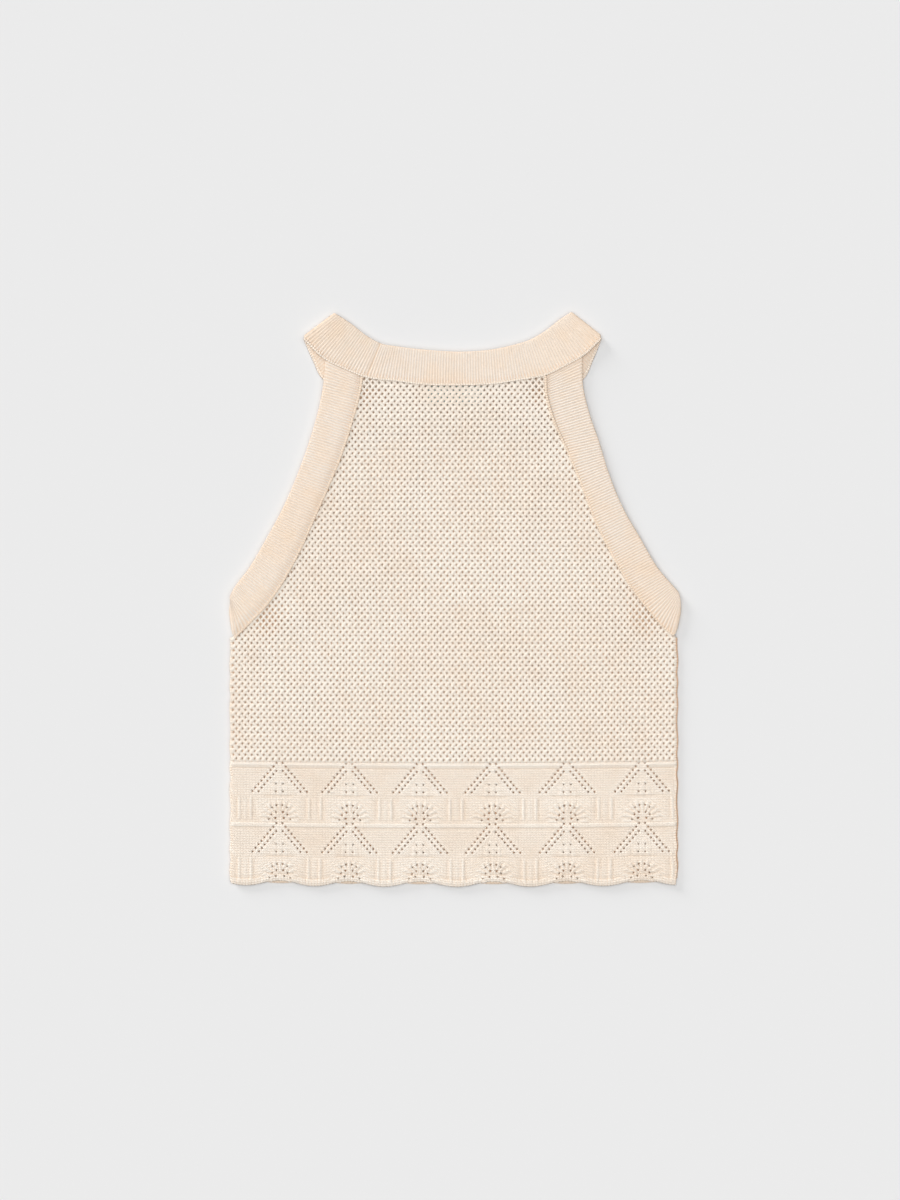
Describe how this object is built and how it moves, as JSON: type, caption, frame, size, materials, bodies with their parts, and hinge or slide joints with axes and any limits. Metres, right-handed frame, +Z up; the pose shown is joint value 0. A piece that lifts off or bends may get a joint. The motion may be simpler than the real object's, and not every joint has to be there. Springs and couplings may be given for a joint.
{
  "type": "knit top",
  "caption": "Sleeveless cropped knit top laid flat, back uppermost: openwork mesh, pointelle border with scalloped hem, ribbed neckband and armhole bands.",
  "frame": {"origin": "middle of the top's bounding box, on the surface that it lies on", "axes": "+Z up out of the surface, +Y towards the neck, +X to the right as seen from above"},
  "size_m": [0.3614, 0.4572, 0.0044],
  "materials": {
    "openwork_back": "matt cotton yarn, openwork stitch",
    "openwork_front": "matt cotton yarn, openwork stitch",
    "rib_neck": "matt cotton yarn, fine rib",
    "rib_armhole": "matt cotton yarn, fine rib",
    "woven_label": "smooth woven tape"
  },
  "bodies": {
    "root": {"back_panel": "openwork_back", "front_panel": "openwork_front", "neckband": "rib_neck", "armhole_band_left": "rib_armhole", "armhole_band_right": "rib_armhole", "neck_label": "woven_label"}
  },
  "joints": []
}
